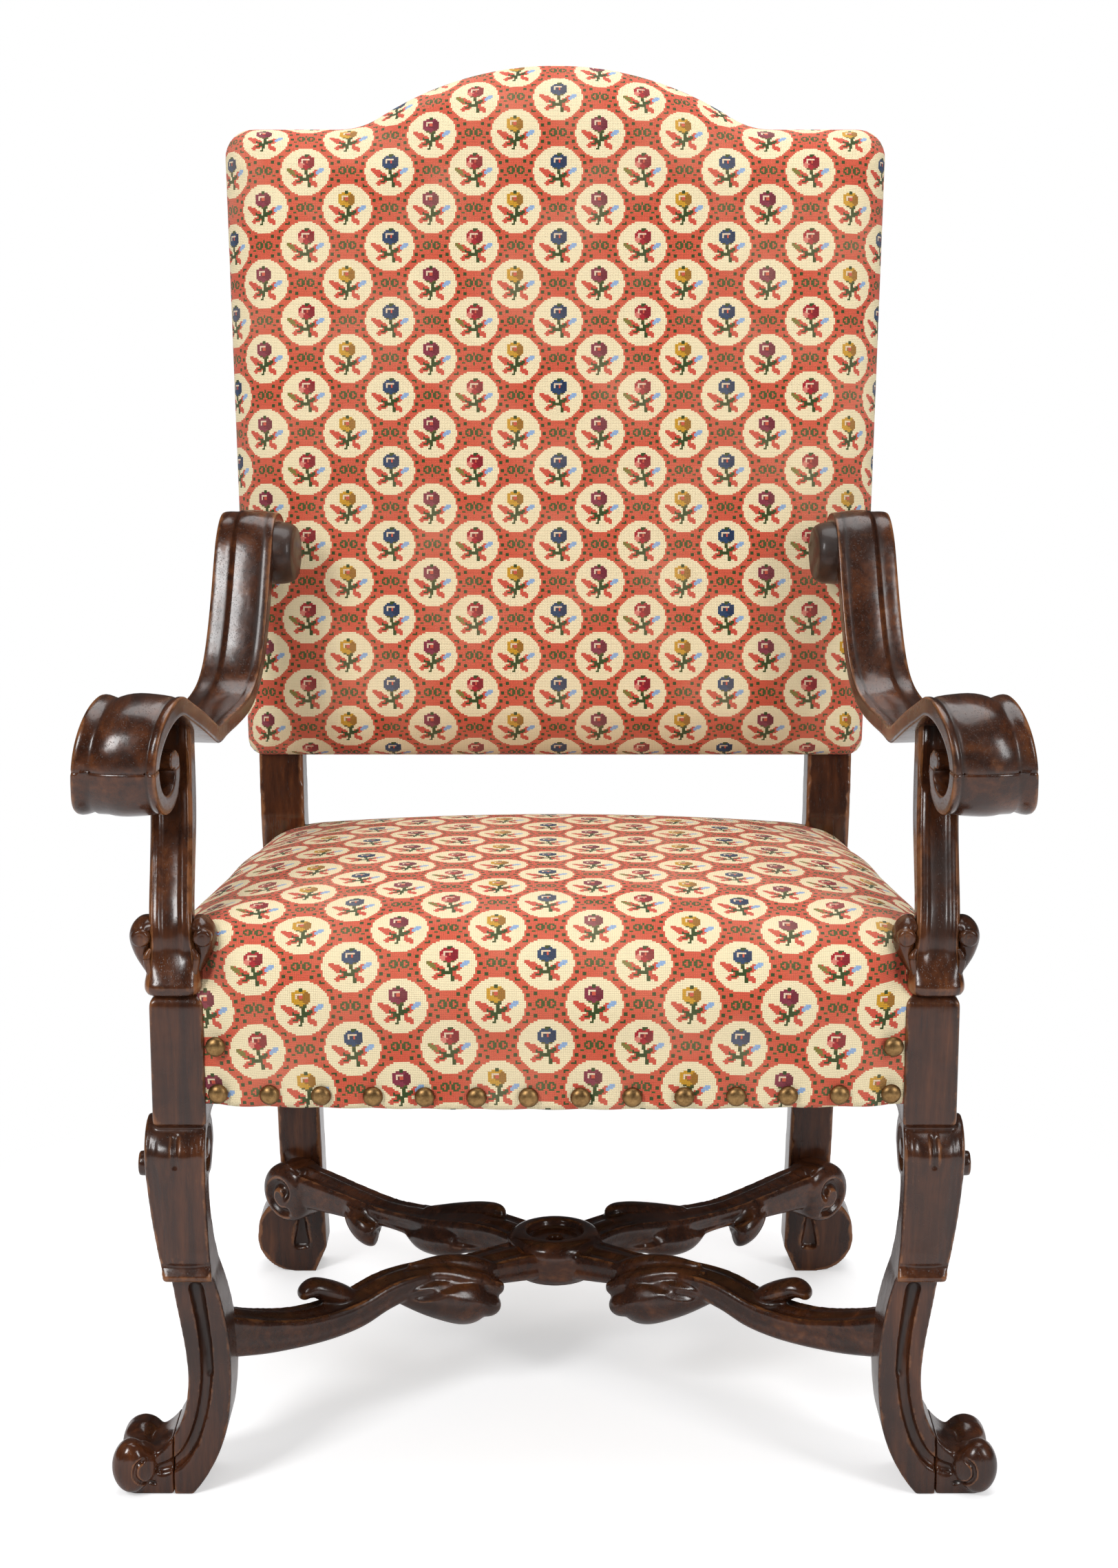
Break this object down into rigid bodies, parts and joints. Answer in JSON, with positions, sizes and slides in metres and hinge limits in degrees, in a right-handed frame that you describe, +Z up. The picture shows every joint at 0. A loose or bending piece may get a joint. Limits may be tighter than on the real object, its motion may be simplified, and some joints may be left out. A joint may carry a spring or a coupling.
{
  "type": "open arm chair",
  "caption": "High-backed open arm chair with carved scroll arms and legs, crossed stretcher with finial socket, and nailed figured upholstery on seat and back.",
  "frame": {"origin": "middle of the chair on the floor", "axes": "+Z up, +X to the viewer's right from the front, the chair faces -Y"},
  "size_m": [0.7626, 0.6279, 1.1833],
  "materials": {
    "walnut": "dark polished walnut, worn lighter at the edges",
    "figured_cover": "woven cover with ivory medallions on coral",
    "plain_cover": "plain woven cloth",
    "nail_brass": "aged bronze-brown brass",
    "webbing": "woven jute",
    "hessian": "coarse plain weave",
    "stuffing": "horsehair"
  },
  "bodies": {
    "root": {"arm_dowels": "walnut", "back_cover": "figured_cover", "back_hessian": "hessian", "back_stuffing": "stuffing", "back_webbing": "webbing", "crest_rail": "walnut", "front_nails": "nail_brass", "front_seat_rail": "walnut", "left_arm": "walnut", "left_arm_support": "walnut", "left_front_leg": "walnut", "left_front_toe": "walnut", "left_hand_block": "walnut", "left_rear_post": "walnut", "left_seat_rail": "walnut", "left_side_nails": "nail_brass", "lower_back_rail": "walnut", "outside_back": "plain_cover", "rear_seat_rail": "walnut", "right_arm": "walnut", "right_arm_support": "walnut", "right_front_leg": "walnut", "right_front_toe": "walnut", "right_hand_block": "walnut", "right_rear_post": "walnut", "right_seat_rail": "walnut", "right_side_nails": "nail_brass", "seat_cover": "figured_cover", "seat_hessian": "hessian", "seat_stuffing": "stuffing", "seat_webbing": "webbing", "stretcher_lower_diagonal": "walnut", "stretcher_upper_diagonal": "walnut", "support_dowels": "walnut"}
  },
  "joints": []
}
